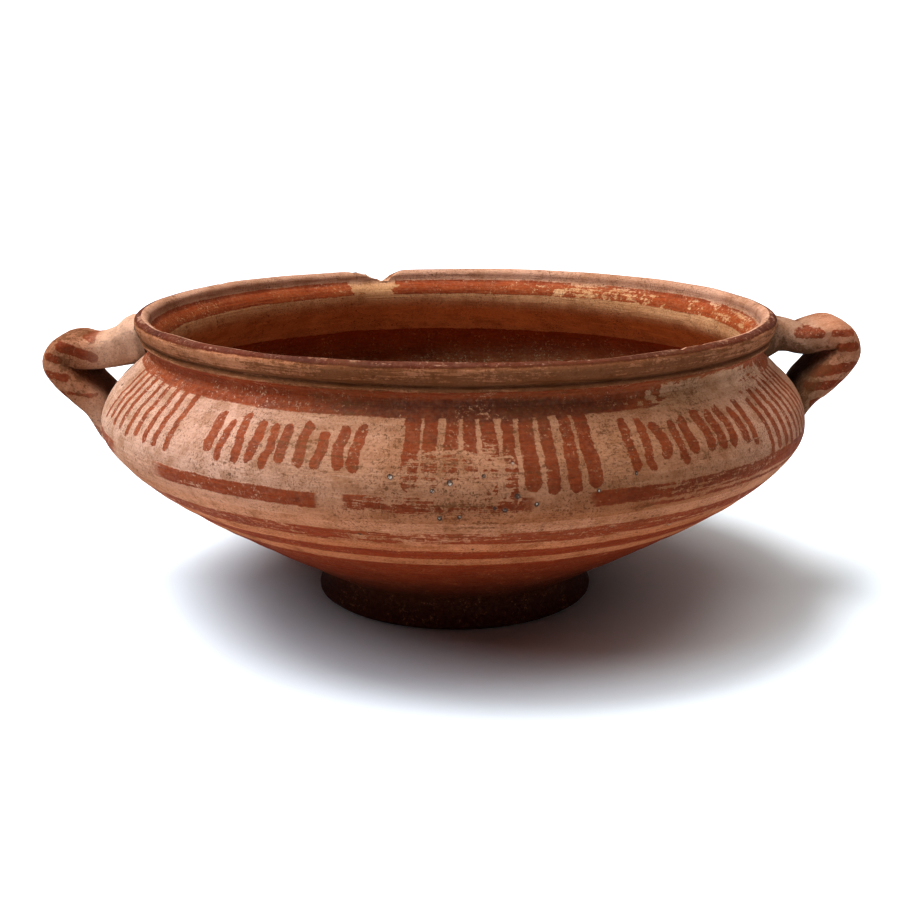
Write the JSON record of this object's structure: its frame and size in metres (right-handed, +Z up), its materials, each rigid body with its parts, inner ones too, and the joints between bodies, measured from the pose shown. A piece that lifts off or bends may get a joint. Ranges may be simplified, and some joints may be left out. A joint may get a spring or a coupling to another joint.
{
  "type": "biconical bowl",
  "caption": "Footed terracotta bowl with sloping shoulder and cone below, upright collar rim, strap handles and red painted bands and strokes.",
  "frame": {"origin": "centre of the foot, on the surface that it stands on", "axes": "+Z up along the bowl's axis, X through the two handles, the painted stroke panels facing -Y"},
  "size_m": [0.2574, 0.2226, 0.0929],
  "materials": {
    "painted_terracotta": "matt unglazed buff clay with worn red-brown slip paint"
  },
  "bodies": {
    "root": {"bowl": "painted_terracotta"}
  },
  "joints": []
}
